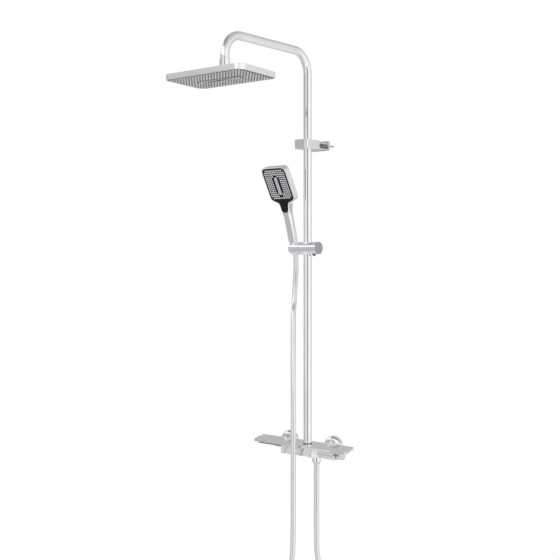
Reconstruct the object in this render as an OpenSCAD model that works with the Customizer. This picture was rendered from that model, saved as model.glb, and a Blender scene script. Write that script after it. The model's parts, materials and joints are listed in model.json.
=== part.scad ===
// Rainfall shower column: wall-mounted mixer shelf, riser, wall bracket, swivelling
// arm with a rectangular rain head, sliding cradle, handset and hose.
// Origin: wall plane, midway between the two wall unions. +X right, -Y away from the wall, +Z up.

/* [Column] */
// Height of the arm's centre line above the unions
arm_z = 1060; // [880:5:1280]
// Distance from the riser's axis to the rain head's axis
arm_reach = 330; // [270:2:410]
// Distance from the wall to the riser's axis
riser_y = 60; // [50:1:72]
// Sideways offset of the riser from the middle of the unions
riser_x = 30; // [20:1:40]
// Outer diameter of the riser and the arm
pipe_d = 22; // [18:0.5:25]
// Wall thickness of the pipes
pipe_wall = 1.2; // [0.8:0.1:2]
// Centre line radius of the arm's two bends
bend_r = 57; // [40:1:70]
// Height of the bottom of the wall bracket
bracket_z = 803; // [640:1:870]
// Height of the bracket's clamp block
bracket_h = 24; // [18:1:30]
// Width of the bracket's clamp block
bracket_w = 44; // [38:1:52]

/* [Wall connection] */
// Distance between the two wall unions
union_pitch = 150; // [150:1:153]
// Outer diameter of a rosette
rosette_d = 64; // [54:1:72]
// Depth of a rosette
rosette_h = 12; // [10:0.5:14]
// Radius of the union's wall thread
wall_thread_r = 10.48; // [10.3:0.01:10.6]
// Length of the wall thread behind the wall plane
wall_thread_l = 20; // [12:1:30]
// Radius over the flats of a union nut
union_nut_r = 15.5; // [14.5:0.1:17]

/* [Valve] */
// Length of the valve's main body
body_l = 170; // [156:1:190]
// Depth of the valve body, front to back
body_d = 44; // [38:1:50]
// Height of the valve body
body_h = 24; // [22:1:29]
// Thickness of the shelf plate
plate_t = 7; // [5:0.5:9]
// Depth of the shelf plate
plate_d = 71; // [62:1:80]
// Left end of the shelf plate's front prong
plate_left = -128; // [-140:1:-118]
// Right end of the shelf plate at its front edge
plate_right = 180; // [172:1:200]
// Width of one push button
button_w = 28; // [24:0.5:30]
// Travel of a push button
button_travel = 3; // [2:0.5:4]
// Length of the thermostat knob
knob_l = 16; // [14:1:24]

/* [Rain head] */
// Width of the rain head
head_w = 252; // [200:2:304]
// Depth of the rain head
head_d = 138; // [114:2:168]
// Thickness of the rain head
head_t = 14; // [13:0.5:18]
// Radius of the rain head's corners
head_corner = 20; // [8:1:30]
// How far the head's middle lies in front of its swivel
head_offset = 17; // [0:1:25]
// Upward tilt of the head's front edge at rest, in degrees
head_tilt = 2; // [0:0.5:6]
// Diameter of the swivel nut
head_nut_d = 26; // [25:0.5:30]
// Nozzles along the rain head's width
head_nozzles_x = 14; // [8:1:16]
// Nozzles along the rain head's depth
head_nozzles_y = 8; // [6:2:10]
// Length of the waterfall outlet
fall_l = 120; // [80:1:150]

/* [Slider and cradle] */
// Height of the slider's axis
slider_z = 538; // [440:1:560]
// Diameter of the slider
slider_d = 33; // [31:0.5:40]
// Reach of the slider's body to the right of the riser
slider_right = 37; // [28:1:45]
// Where the body stops and the cradle starts, left of the riser
slider_left = 18; // [17:0.5:24]
// Length of the cradle
cradle_l = 38; // [36:1:44]
// Forward lean of the handset at rest, in degrees
lean = 17; // [10:1:25]

/* [Handset] */
// Length of the handset above its cone
hand_l = 215; // [190:1:240]
// Width of the handset's head
hand_w = 80; // [66:1:95]
// Height of the handset's head
hand_h = 100; // [84:1:106]
// Thickness of the handset's head
hand_t = 18; // [15:0.5:22]
// Width of the handle at its lower end
handle_w = 25; // [21.5:0.5:30]
// Radius of the cone's upper end
cone_r = 10; // [9:0.1:10.4]
// Outer diameter of the hose
hose_d = 14; // [12:0.5:16]

/* [Hidden] */
$fn = 64;

// Clearances
slip = 0.05;            // radial gap of a turning or sliding fit
loose = 0.3;            // gap between pieces that must never touch
eps = 0.5;              // how far a cut runs past a face
seal_t = 2;             // thickness of a flat washer

// Pipes
pipe_r = pipe_d / 2;
pipe_ir = pipe_r - pipe_wall;
half_pitch = union_pitch / 2;

// Heights and depths of the valve
plate_bottom = 8;
plate_top = plate_bottom + plate_t;
body_top = plate_bottom;
body_z = body_top - body_h / 2;
body_r = body_h / 2;
body_bottom = body_top - body_h;
body_back = riser_y - body_d / 2;
body_front = riser_y + body_d / 2;
body_x0 = riser_x - 70;
body_x1 = body_x0 + body_l;
plate_front = riser_y + 36;
inlet_r = 8.4;
inlet_x0 = -half_pitch - 11;
inlet_y = body_back + inlet_r + 0.6;
inlet_z = body_top - inlet_r;
inlet_cap_t = 3;
rail_x0 = plate_left + 13;
rail_back = plate_front - 12;
rail_front = plate_front - 5;
rail_t = 4;
plate_back = plate_front - plate_d;
notch_back = 11;
notch_w = 10;
groove_w = 1.2;

// Union and its nut, measured as distance from the wall
union_flange = 8;
union_end = 19;
seal_end = union_end + seal_t;
tail_flange_t = 2.5;
tail_flange_end = seal_end + tail_flange_t;
nut_start = rosette_h + 0.5;
nut_end = tail_flange_end + 1.2;
union_r = 13;
union_bore = 7;
tail_flange_r = 11.5;
tail_r = 7.4;
tail_bore = 5;

// Push buttons: slanted sides, seen from the front
slant = 0.48;
fascia_front = plate_front - 3;
fascia_back = body_front - 3;
fascia_bottom = -14;
fascia_h = plate_bottom - fascia_bottom;
fascia_x0 = riser_x - 65;
button_x0 = riser_x - 50;
buttons_end = button_x0 + 3 * button_w;
fascia_x1 = buttons_end + 8;
button_gap = 1.6;
button_t = 4;
stem_r = 4;
button_z = (plate_bottom + fascia_bottom) / 2;
chamber_back = riser_y + pipe_r + 1;
cartridge_r = 8;
cartridge_t = 4;
spring_r = 6;

// Thermostat
knob_x0 = body_x1 + 1;
knob_x1 = knob_x0 + knob_l;
knob_r = body_r - 0.4;
thermo_r = 8;
thermo_l = 46;
spindle_r = 4;

// Hose outlet
outlet_x = riser_x + 30;
outlet_r = 10.4;
outlet_bore = 5.5;
outlet_l = 10;
hose_r = hose_d / 2;
valve_nut_l = 19;
valve_nut_r = outlet_r + 1.3;
valve_nut_z = body_bottom - 0.2 - valve_nut_l;
nut_taper_z = body_bottom - outlet_l - seal_t - 1.5;

// Riser socket in the valve
riser_z0 = body_z - 4;
socket_r = pipe_r + slip;
collar_r = pipe_r + 1;
collar_h = 1.5;

// Bracket
bracket_top = bracket_z + bracket_h;
clamp_front = 33;
clamp_back = 30;
clamp_corner = 8;
neck_w = 30;
neck_h = bracket_h - 5;
wall_plate_t = 6;
wall_plate_w = neck_w + 30;
wall_plate_h = bracket_h + 2;
neck_overlap = 8;
screw_r = 2.2;
screw_head_r = 4;
screw_head_t = 2.5;
screw_l = 25;
screw_x = wall_plate_w / 2 - 6;
grub_r = 2.5;
split_z = bracket_z + bracket_h / 2;
joiner_l = 60;
joiner_r = pipe_ir - slip;
joiner_bore = joiner_r - 1.4;
oring_r = 1.1;

// Swivel and rain head
head_y = riser_y + arm_reach;
ball_r = 8.5;
head_top = arm_z - 104;
head_bottom = head_top - head_t;
ball_z = head_top + 6;
ball_neck_r = 5.5;
head_nut_r = head_nut_d / 2;
drop_z = arm_z - 63;
nut_top = drop_z - 1;
nut_bottom = ball_z + 11;
ball_bore = 3.5;
seat_r = 11.3;
seat_z0 = -4.6;          // heights of the seat ring, from the ball's centre
seat_z1 = -1.6;
collar_in = 13;
collar_out = 16.5;
collar_top = ball_z + 2.5;
head_wall = 2.5;
face_inset = 4;
face_t = 3;
nozzle_r = 2;
nozzle_drop = 1.6;
mat_t = 1.5;
fall_w = 9;
fall_frame = 3;
fall_slot = 2.4;
face_z = head_bottom + 0.4;
nozzle_pitch_x = (head_w - 34) / (head_nozzles_x - 1);
nozzle_pitch_y = (head_d - 30) / (head_nozzles_y - 1);

// Slider, measured from the riser's axis
slider_r = slider_d / 2;
bush_t = 1.5;
bush_r = pipe_r + bush_t;
cap_t = 4;
pivot_r = 5;
pivot_head_r = 8;
pivot_gap = 0.4;
cradle_x0 = -slider_left - pivot_gap;
cradle_x1 = cradle_x0 - cradle_l;
socket_x = cradle_x0 - 25.6;
socket_top_r = cone_r + slip;
cone_len = 34.5;
cone_tip_r = cone_r - 1.2;
hose_slot = hose_d + 1;
lock_x = 22;
lock_r = 5.5;
lock_l = 12;
lock_travel = 3;

// Handset, in a frame whose origin is the middle of the cradle's socket
handle_z0 = slider_r / cos(lean) + 2;
head_z0 = handle_z0 + hand_l - hand_h;
face_tilt = 12;
handle_t = 17;
handle_round = handle_w / 2 + 0.2;
neck_z = head_z0 - 44;
shoulder_z = head_z0 - 12;
shoulder_r = 17.5;
hand_corner = 15;
hand_wall = 2;
hand_face_t = 2.2;
hand_nozzles_x = 6;
hand_nozzles_z = 7;
hand_pitch_x = (hand_w - 20) / (hand_nozzles_x - 1);
hand_pitch_z = (hand_h - 26) / (hand_nozzles_z - 1);
hand_nozzle_r = 1.6;
jet_w = 14;
jet_h = 56;
hand_button_r = 7;
hand_button_y = -16;
hand_button_travel = 1.5;
hand_pocket_r = hand_button_r + 0.9;
hand_pipe_r = 4.5;
hand_pipe_top = head_z0 - 38;
hand_bore = hand_pipe_r - 1.4;
hand_thread_r = 8;
hand_thread_l = 12;
cone_nut_top = slider_r / cos(lean) + 0.6;

// Hose route. Upper points: sideways and forward from the handset's nut, and the share of its
// height above the unions. Lower points: offsets from the lower face of the valve's nut.
HOSE_UPPER = [
    [-3, 5, 0.967], [-7, 10, 0.923], [-10, 12, 0.872], [-10, 9, 0.814], [-7, 2, 0.747],
    [1, -12, 0.690], [10, -24, 0.575], [20, -37, 0.441], [29, -48, 0.307], [35, -55, 0.172],
    [38, -59, 0.038]
];
HOSE_LOWER = [
    [-35, -56, -25], [-35, -56, -105], [-36, -55, -175], [-37, -57, -237], [-40, -63, -272],
    [-46, -73, -307], [-50, -81, -337], [-50, -81, -364], [-45, -74, -394], [-33, -55, -417],
    [-16, -28, -426], [0, 0, -417], [12, 20, -394], [17, 28, -364], [15, 26, -337],
    [11, 18, -307], [5, 8, -272], [1, 1, -237], [0, 0, -165], [0, 0, -95], [0, 0, -45]
];
hose_z0 = cone_nut_top - cone_len;
hose_top = [riser_x + socket_x, -riser_y - hose_z0 * sin(lean), slider_z + hose_z0 * cos(lean)];
hose_end = [outlet_x, -riser_y, valve_nut_z];
HOSE = [
    hose_top,
    for (p = HOSE_UPPER) [hose_top[0] + p[0], hose_top[1] + p[1], hose_top[2] * p[2]],
    for (p = HOSE_LOWER) hose_end + p,
    hose_end
];
hose_sides = 10;
hose_rings = 2;
hose_start_dir = [0, sin(lean), -cos(lean)];

// ---------------------------------------------------------------- shared shapes

// A polygon whose corners are rounded to the radius given with each point [x, y, r]
module rounded_outline(p, steps = 6) {
    n = len(p);
    polygon([for (i = [0:n - 1]) each corner_arc(p[(i + n - 1) % n], p[i], p[(i + 1) % n], steps)]);
}

function flat(v) = [v[0], v[1]];
function unit(v) = v / norm(v);

// The arc that rounds corner b between a and c
function corner_arc(a, b, c, steps) =
    b[2] <= 0 ? [flat(b)] :
    let (
        u = unit(flat(a) - flat(b)),
        w = unit(flat(c) - flat(b)),
        half = acos(u * w) / 2,
        t = b[2] / tan(half),
        m = flat(b) + unit(u + w) * (b[2] / sin(half)),
        s = flat(b) + u * t - m,
        e = flat(b) + w * t - m,
        turn = sign(s[0] * e[1] - s[1] * e[0]) * (180 - 2 * half)
    )
    [for (i = [0:steps])
        let (g = turn * i / steps) m + [s[0] * cos(g) - s[1] * sin(g), s[0] * sin(g) + s[1] * cos(g)]];

// A rectangle centred on the origin with true round corners
module round_rect(w, h, r) {
    square([w - 2 * r, h], center = true);
    square([w, h - 2 * r], center = true);
    for (x = [-1, 1], y = [-1, 1])
        translate([x * (w / 2 - r), y * (h / 2 - r)]) circle(r);
}

// A cylinder along -Y, from distance y0 to distance y1 off the wall
module out(r, y0, y1, r2 = -1) {
    translate([0, -y0, 0]) rotate([90, 0, 0]) cylinder(h = y1 - y0, r1 = r, r2 = r2 < 0 ? r : r2);
}

// A cylinder along +X from x0 to x1
module along_x(r, x0, x1) {
    translate([x0, 0, 0]) rotate([0, 90, 0]) cylinder(h = x1 - x0, r = r);
}

// A cylinder along +Z from z0 to z1
module up(r, z0, z1, r2 = -1) {
    translate([0, 0, z0]) cylinder(h = z1 - z0, r1 = r, r2 = r2 < 0 ? r : r2);
}

module at_riser() { translate([riser_x, -riser_y, 0]) children(); }
module at_head() { translate([riser_x, -head_y, 0]) children(); }
// The ball's centre, with the rain head's tilt at rest
module at_ball() { translate([riser_x, -head_y, ball_z]) rotate([-head_tilt, 0, 0]) children(); }
// The rain head's own frame: origin above its middle, at the height of the unions
module at_plate() { at_ball() translate([0, -head_offset, -ball_z]) children(); }
module at_slider() { translate([riser_x, -riser_y, slider_z]) children(); }
module at_valve_axis() { translate([0, -riser_y, body_z]) children(); }
module at_inlet() { translate([0, -inlet_y, inlet_z]) children(); }
module at_handset() { at_slider() translate([socket_x, 0, 0]) rotate([lean, 0, 0]) children(); }

// ---------------------------------------------------------------- wall connection

module wall_union(x) {
    color("silver") translate([x, 0, 0]) difference() {
        union() {
            out(wall_thread_r, -wall_thread_l, 0);
            out(union_r, 0, union_end);
        }
        out(union_bore, -wall_thread_l - eps, union_end + eps);
    }
}

module rosette(x) {
    color("gainsboro") translate([x, 0, 0]) rotate([90, 0, 0]) rotate_extrude() difference() {
        union() {
            square([rosette_d / 2 - rosette_h, rosette_h]);
            intersection() {
                translate([rosette_d / 2 - rosette_h, 0]) circle(rosette_h);
                square([rosette_d / 2, rosette_h]);
            }
            square([rosette_d / 2, 1.5]);
        }
        translate([-eps, -eps]) square([union_r + slip + eps, rosette_h + 2 * eps]);
        translate([-eps, -eps]) square([rosette_d / 2 - rosette_h + eps, rosette_h - 2 + eps]);
        translate([rosette_d / 2 - rosette_h, 0]) circle(rosette_h - 2);
    }
}

module union_nut(x) {
    color("gainsboro") translate([x, 0, 0]) difference() {
        translate([0, -nut_start, 0]) rotate([90, 0, 0])
            cylinder(h = nut_end - nut_start, r = union_nut_r / cos(30), $fn = 6);
        out(union_r + slip, nut_start - eps, union_end);
        out(tail_flange_r + slip, union_end - eps, tail_flange_end);
        out(tail_r + slip, tail_flange_end - eps, nut_end + eps);
    }
}

module union_seals() {
    color("dimgray") for (x = [-half_pitch, half_pitch]) translate([x, 0, 0]) difference() {
        out(tail_flange_r - 0.5, union_end, seal_end);
        out(union_bore, union_end - eps, seal_end + eps);
    }
}

module check_valves() {
    color("ivory") for (x = [-half_pitch, half_pitch]) translate([x, 0, 0]) difference() {
        out(tail_bore, seal_end, seal_end + 14);
        out(1.5, seal_end - eps, seal_end + 14 + eps);
    }
}

// ---------------------------------------------------------------- valve

// A cross-section seen along X: flat top and bottom, round front and back
module round_bar(w, r) {
    translate([-w / 2 + r, -r]) square([w - 2 * r, 2 * r]);
    for (s = [-1, 1]) translate([s * (w / 2 - r), 0]) circle(r);
}

module body_section(grow = 0) { round_bar(body_d + 2 * grow, body_r + grow); }

// Extrudes a section drawn as (y, z) along X
module section_along_x(x0, x1) {
    translate([x0, 0, 0]) rotate([90, 0, 90]) linear_extrude(x1 - x0) children();
}

module valve_body() {
    color("gainsboro") difference() {
        union() {
            at_valve_axis() section_along_x(body_x0, body_x1) body_section();
            at_inlet() along_x(inlet_r, inlet_x0, body_x0 + inlet_r);
            for (x = [-half_pitch, half_pitch]) translate([x, 0, 0]) {
                out(tail_flange_r, seal_end, tail_flange_end);
                out(tail_r, tail_flange_end - eps, body_back + body_r);
            }
        }
        for (x = [-half_pitch, half_pitch]) translate([x, 0, 0])
            out(tail_bore, seal_end - eps, inlet_y);
        // Waterway and the thermostat's chamber
        at_inlet() along_x(tail_bore, -half_pitch, body_x0 + body_r);
        translate([body_x0 + body_r, 0, inlet_z]) out(tail_bore, inlet_y - tail_bore, riser_y);
        at_valve_axis() along_x(tail_bore, body_x0 + body_r - tail_bore, body_x1 - thermo_l);
        at_valve_axis() along_x(thermo_r + slip, body_x1 - thermo_l, body_x1 + eps);
        // Riser socket, hose outlet and the three shut-off chambers
        at_riser() up(socket_r, riser_z0, body_top + eps);
        translate([outlet_x, -riser_y, 0]) up(outlet_r + slip - 2, body_bottom - eps, body_z);
        for (i = [0:2]) translate([button_mid(i), 0, button_z])
            out(cartridge_r + slip, chamber_back, body_front + eps);
    }
}

function button_mid(i) = button_x0 + (i + 0.5) * button_w;

module left_end_cap() {
    color("silver") at_inlet() along_x(inlet_r - 1, inlet_x0 - inlet_cap_t, inlet_x0);
}

// The shelf, seen from above: slanted right end, and two prongs on the left
module shelf_outline() {
    right_back = plate_right - 24;
    left_back = plate_left - 25;
    notch_x = plate_left - 8;
    notch_y = plate_back + notch_back;
    rounded_outline([
        [plate_right, -plate_front, 4], [right_back, -plate_back, 5],
        [left_back, -plate_back, 3], [left_back, -notch_y + 3, 3],
        [notch_x, -notch_y, 4], [notch_x, -notch_y - notch_w, 4],
        [plate_left - 18, -notch_y - notch_w - 6, 3], [plate_left, -plate_front, 6]
    ]);
}

module shelf_plate() {
    color("silver") difference() {
        translate([0, 0, plate_bottom]) linear_extrude(plate_t) shelf_outline();
        at_riser() up(socket_r, plate_bottom - eps, plate_top + eps);
        // Shadow groove in the front edge, in line with the knob's joint
        translate([body_x1, -plate_front - eps, plate_bottom - eps])
            cube([groove_w, groove_w + eps, plate_t + 2 * eps]);
    }
}

// Rail under the shelf's front edge, left of the fascia
module shelf_rail() {
    color("dimgray") translate([rail_x0, -rail_front, plate_bottom - rail_t])
        cube([fascia_x0 - loose - rail_x0, rail_front - rail_back, rail_t]);
}

// A slab with slanted sides; x0 and x1 are the places of its sides at mid height
module slanted_slab(x0, x1, y0, y1, gap = 0) {
    half = fascia_h / 2 - gap;
    translate([0, -y0, button_z]) rotate([90, 0, 0]) linear_extrude(y1 - y0) polygon([
        [x0 - slant * half, -half], [x0 + slant * half, half],
        [x1 + slant * half, half], [x1 - slant * half, -half]
    ]);
}

module front_fascia() {
    color("gainsboro") difference() {
        union() {
            intersection() {
                slanted_slab(fascia_x0 - fascia_h, button_x0, fascia_back, fascia_front);
                translate([fascia_x0, -fascia_front, fascia_bottom])
                    cube([fascia_h + button_w, fascia_front, fascia_h]);
            }
            slanted_slab(button_x0, buttons_end, fascia_back,
                         fascia_front - button_t - button_travel - loose);
            facet();
        }
        at_valve_axis() section_along_x(fascia_x0 - 20, fascia_x1 + 20) body_section(slip);
        for (i = [0:2]) translate([button_mid(i), 0, button_z])
            out(stem_r + slip, fascia_back - eps, fascia_front);
    }
}

// The end of the fascia that slopes back to the body on the right
module facet() {
    intersection() {
        slanted_slab(buttons_end, fascia_x1 + 10, fascia_back, fascia_front);
        translate([0, 0, fascia_bottom - eps]) linear_extrude(fascia_h + 2 * eps) polygon([
            [buttons_end - fascia_h, -fascia_back], [buttons_end - fascia_h, -fascia_front],
            [buttons_end + 4, -fascia_front], [fascia_x1 + 8, -fascia_back]
        ]);
    }
}

module push_button(i) {
    x0 = button_x0 + i * button_w;
    color("whitesmoke") {
        slanted_slab(x0 + button_gap / 2, x0 + button_w - button_gap / 2,
                     fascia_front - button_t, fascia_front, button_gap / 2);
        translate([button_mid(i), 0, button_z])
            out(stem_r, chamber_back + cartridge_t + button_travel + loose, fascia_front - button_t);
    }
}

module button_springs() {
    start = chamber_back + cartridge_t;
    color("dimgray") for (i = [0:2]) translate([button_mid(i), 0, button_z]) difference() {
        out(spring_r, start, fascia_back - slip);
        out(stem_r + 0.5, start - eps, body_front);
    }
}

module shutoff_cartridges() {
    color("ivory") for (i = [0:2]) translate([button_mid(i), 0, button_z])
        out(cartridge_r, chamber_back, chamber_back + cartridge_t);
}

module thermostat_cartridge() {
    color("ivory") at_valve_axis() difference() {
        along_x(thermo_r, body_x1 - thermo_l, body_x1);
        along_x(spindle_r + slip, body_x1 - 12, body_x1 + eps);
    }
}

module thermostat_knob() {
    color("gainsboro") at_valve_axis() {
        difference() {
            along_x(knob_r, knob_x0, knob_x1);
            along_x(knob_r - 3, knob_x1 - 2.5, knob_x1 + eps);
        }
        along_x(spindle_r, body_x1 - 10, knob_x0 + 1);
    }
}

module knob_cap() {
    color("darkgray") at_valve_axis() along_x(knob_r - 3.05, knob_x1 - 2.5, knob_x1 + 0.5);
}

module hose_outlet() {
    color("silver") translate([outlet_x, -riser_y, 0]) difference() {
        union() {
            up(outlet_r - 2, body_bottom, body_z - 4);
            up(outlet_r, body_bottom - outlet_l, body_bottom);
        }
        up(outlet_bore, body_bottom - outlet_l - eps, body_z);
    }
}

module riser_seal() {
    color("dimgray") at_riser() translate([0, 0, riser_z0]) difference() {
        cylinder(h = seal_t, r = pipe_r);
        translate([0, 0, -eps]) cylinder(h = seal_t + 2 * eps, r = pipe_ir);
    }
}

module riser_collar() {
    color("silver") at_riser() difference() {
        up(collar_r, plate_top, plate_top + collar_h);
        up(socket_r, plate_top - eps, plate_top + collar_h + eps);
    }
}

// ---------------------------------------------------------------- riser and bracket

module lower_riser() {
    color("gainsboro") at_riser() difference() {
        up(pipe_r, riser_z0 + seal_t, split_z);
        up(pipe_ir, riser_z0 + seal_t - eps, split_z + eps);
    }
}

module joiner_sleeve() {
    color("tan") at_riser() difference() {
        up(joiner_r, split_z - joiner_l / 2, split_z + joiner_l / 2);
        up(joiner_bore, split_z - joiner_l / 2 - eps, split_z + joiner_l / 2 + eps);
        for (s = [-1, 1], k = [15, 22]) translate([0, 0, split_z + s * k]) groove();
    }
}

module groove() {
    rotate_extrude() translate([joiner_r - oring_r / 2, -oring_r / 2]) square([oring_r, oring_r]);
}

module joiner_seals() {
    color("dimgray") at_riser() for (s = [-1, 1], k = [15, 22])
        translate([0, 0, split_z + s * k]) rotate_extrude()
            translate([joiner_r - oring_r / 2, -oring_r / 2]) square([oring_r / 2, oring_r]);
}

module bracket_clamp() {
    depth = clamp_front + clamp_back;
    mid = (clamp_back - clamp_front) / 2;
    color("gainsboro") at_riser() difference() {
        translate([0, mid, bracket_z]) linear_extrude(bracket_h)
            round_rect(bracket_w, depth, clamp_corner);
        up(pipe_r + slip, bracket_z - eps, bracket_top + eps);
        translate([0, 0, split_z]) rotate([90, 0, 180])
            translate([0, 0, clamp_back - neck_overlap]) linear_extrude(neck_overlap + eps)
                round_rect(neck_w + 2 * slip, neck_h + 2 * slip, 4);
        translate([0, 0, bracket_z + 6]) along_x(grub_r + slip, -bracket_w / 2 - eps, -pipe_r);
    }
}

module bracket_grub_screw() {
    color("dimgray") at_riser() translate([0, 0, bracket_z + 6])
        along_x(grub_r, -bracket_w / 2 + 1, -pipe_r - slip);
}

// Sleeve between the clamp and the wall plate, pushed over the wall plate's spigot
module bracket_neck() {
    start = wall_plate_t;
    end = riser_y - clamp_back + neck_overlap;
    color("silver") translate([riser_x, 0, split_z]) difference() {
        translate([0, -start, 0]) rotate([90, 0, 0]) linear_extrude(end - start)
            round_rect(neck_w, neck_h, 4);
        translate([0, -start + eps, 0]) rotate([90, 0, 0]) linear_extrude(20)
            round_rect(neck_w - 6, neck_h - 6, 2);
    }
}

module bracket_wall_plate() {
    color("darkgray") translate([riser_x, 0, split_z]) difference() {
        union() {
            rotate([90, 0, 0]) linear_extrude(wall_plate_t) round_rect(wall_plate_w, wall_plate_h, 4);
            rotate([90, 0, 0]) linear_extrude(wall_plate_t + 12)
                round_rect(neck_w - 6 - 2 * slip, neck_h - 6 - 2 * slip, 2);
        }
        for (s = [-1, 1]) translate([s * screw_x, 0, 0]) {
            out(screw_r + loose, -eps, wall_plate_t + eps);
            out(screw_head_r + slip, wall_plate_t - screw_head_t, wall_plate_t + eps);
        }
    }
}

module bracket_screws() {
    color("silver") translate([riser_x, 0, split_z]) for (s = [-1, 1])
        translate([s * screw_x, 0, 0]) difference() {
            union() {
                out(screw_r, -screw_l, 0);
                out(screw_r + loose - slip, 0, wall_plate_t - screw_head_t);
                out(screw_head_r, wall_plate_t - screw_head_t, wall_plate_t);
            }
            out(1.6, wall_plate_t - 1.2, wall_plate_t + eps);
        }
}

// ---------------------------------------------------------------- arm, swivel and rain head

// A quarter bend in the YZ plane whose centre is at the origin
module bend(r) {
    rotate([90, 0, 90]) rotate_extrude(angle = 90) translate([bend_r, 0]) circle(r);
}

module arm_solid(r, z0, z1) {
    at_riser() {
        up(r, z0, arm_z - bend_r);
        translate([0, -bend_r, arm_z - bend_r]) bend(r);
        translate([0, -bend_r, arm_z]) rotate([90, 0, 0]) cylinder(h = arm_reach - 2 * bend_r, r = r);
        translate([0, -arm_reach + bend_r, arm_z - bend_r]) mirror([0, 1, 0]) bend(r);
        translate([0, -arm_reach, 0]) up(r, z1, arm_z - bend_r);
    }
}

module shower_arm() {
    color("gainsboro") difference() {
        union() {
            arm_solid(pipe_r, split_z + loose, drop_z);
            at_head() up(outlet_r, drop_z - 9, drop_z);
        }
        arm_solid(pipe_ir, split_z + loose - eps, drop_z + 2);
        at_head() up(pipe_ir - 1.6, drop_z - 9 - eps, drop_z + 3);
    }
}

module head_nut() {
    color("silver") at_head() difference() {
        up(head_nut_r, nut_bottom, nut_top);
        up(outlet_r + slip, drop_z - 9 - seal_t, nut_top + eps);
        up(ball_neck_r + slip, nut_bottom - eps, nut_top);
        up(ball_neck_r + 2.5, drop_z - 9 - seal_t - 2.5, nut_top);
    }
}

module head_washer() {
    color("dimgray") at_head() difference() {
        up(outlet_r - 0.4, drop_z - 9 - seal_t, drop_z - 9);
        up(ball_bore, drop_z - 9 - seal_t - eps, drop_z - 9 + eps);
    }
}

module swivel_ball() {
    color("silver") at_head() difference() {
        union() {
            translate([0, 0, ball_z]) sphere(ball_r);
            up(ball_neck_r, ball_z, drop_z - 9 - seal_t);
            up(ball_neck_r + 2.4, drop_z - 9 - seal_t - 2.4, drop_z - 9 - seal_t);
        }
        up(ball_bore, ball_z - ball_r - eps, drop_z);
    }
}

module ball_seat() {
    color("ivory") at_ball() difference() {
        up(seat_r, seat_z0, seat_z1);
        sphere(ball_r + slip);
    }
}

module head_housing() {
    color("gainsboro") at_plate() difference() {
        union() {
            translate([0, 0, head_bottom]) linear_extrude(head_t) round_rect(head_w, head_d, head_corner);
            translate([0, head_offset, 0]) up(collar_out, head_top - eps, collar_top);
        }
        translate([0, 0, head_bottom - eps]) linear_extrude(face_t + 2 * eps)
            round_rect(head_w - 2 * face_inset, head_d - 2 * face_inset, head_corner - face_inset);
        translate([0, 0, head_bottom]) linear_extrude(head_t - head_wall)
            round_rect(head_w - 2 * face_inset - 3, head_d - 2 * face_inset - 3,
                       head_corner - face_inset - 1);
        translate([0, head_offset, 0]) {
            up(collar_in, head_top - head_wall - eps, collar_top - 1.5);
            up(ball_neck_r + 5, collar_top - 1.5 - eps, collar_top + eps);
        }
    }
}

function head_nozzle_at(i, j) = [
    (i - (head_nozzles_x - 1) / 2) * nozzle_pitch_x,
    (j - (head_nozzles_y - 1) / 2) * nozzle_pitch_y
];
function clear_of_fall(p) =
    abs(p[0]) > fall_l / 2 + fall_frame + nozzle_r + 1 || abs(p[1]) > fall_w / 2 + fall_frame + nozzle_r + 1;
head_spots = [
    for (i = [0:head_nozzles_x - 1], j = [0:head_nozzles_y - 1])
        let (p = head_nozzle_at(i, j)) if (clear_of_fall(p)) p
];

module head_face() {
    color("gray") at_plate() difference() {
        translate([0, 0, face_z]) linear_extrude(face_t)
            round_rect(head_w - 2 * face_inset - 2 * slip, head_d - 2 * face_inset - 2 * slip,
                       head_corner - face_inset);
        for (p = head_spots) translate(p) up(nozzle_r, face_z - eps, face_z + face_t + eps);
        translate([0, 0, face_z - eps]) linear_extrude(face_t + 2 * eps)
            round_rect(fall_l, fall_w, fall_w / 2 - slip);
    }
}

module head_nozzles() {
    color("whitesmoke") at_plate() {
        translate([0, 0, face_z + face_t]) linear_extrude(mat_t) difference() {
            round_rect(head_w - 2 * face_inset - 6, head_d - 2 * face_inset - 6,
                       head_corner - face_inset - 3);
            square([fall_l + 8, fall_w + 8], center = true);
        }
        for (p = head_spots) translate(p) up(nozzle_r, face_z - nozzle_drop, face_z + face_t);
    }
}

module waterfall_outlet() {
    color("lightgray") at_plate() difference() {
        union() {
            translate([0, 0, face_z - 1]) linear_extrude(face_t + 1)
                round_rect(fall_l - 2 * slip, fall_w - 2 * slip, fall_w / 2 - 2 * slip);
            translate([0, 0, face_z + face_t]) linear_extrude(mat_t)
                round_rect(fall_l + 6, fall_w + 6, 3);
        }
        translate([0, 0, face_z - 1 - eps]) linear_extrude(face_t + mat_t + 1 + 2 * eps)
            square([fall_l - 12, fall_slot], center = true);
    }
}

// ---------------------------------------------------------------- slider and cradle

module slider_body() {
    color("gainsboro") at_slider() difference() {
        along_x(slider_r, -slider_left, slider_right);
        up(bush_r, -slider_r - eps, slider_r + eps);
        // Recess for the cradle's pivot, the end cap and the lock button's chamber
        along_x(pivot_r + slip, -slider_left - eps, -bush_r + 1);
        along_x(slider_r - 3, slider_right - cap_t + 1.5, slider_right + eps);
        translate([lock_x, 0, 0]) up(lock_r + slip, -slider_r - eps, -slider_r + lock_l + lock_travel);
    }
}

module slider_bush() {
    color("ivory") at_slider() difference() {
        up(bush_r, -slider_r + 1, slider_r - 1);
        up(pipe_r + slip, -slider_r, slider_r);
        along_x(pivot_r + slip, -slider_left - eps, 0);
    }
}

module slider_end_cap() {
    color("rosybrown") at_slider() {
        along_x(slider_r - 3.05, slider_right - cap_t + 1.5, slider_right);
        along_x(slider_r, slider_right, slider_right + 1.5);
    }
}

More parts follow.
